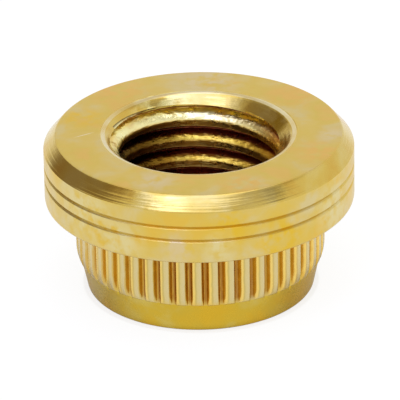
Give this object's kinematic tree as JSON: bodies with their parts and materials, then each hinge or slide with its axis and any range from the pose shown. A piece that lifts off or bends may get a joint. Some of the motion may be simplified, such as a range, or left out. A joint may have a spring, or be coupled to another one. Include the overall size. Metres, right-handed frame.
{
  "type": "threaded insert",
  "caption": "Flanged threaded insert: chamfered head with fine grooves, straight-knurled body, tapered lead-in and a countersunk M16 internal thread.",
  "frame": {"origin": "centre of the flat lower end, on the thread's axis", "axes": "+Z along the thread's axis, from the lead-in end towards the head; one knurl ridge lies on +X"},
  "size_m": [0.027, 0.027, 0.0143],
  "materials": {
    "plated_steel": "yellow-passivated zinc plate over turned steel"
  },
  "bodies": {
    "root": {"insert_body": "plated_steel"}
  },
  "joints": []
}
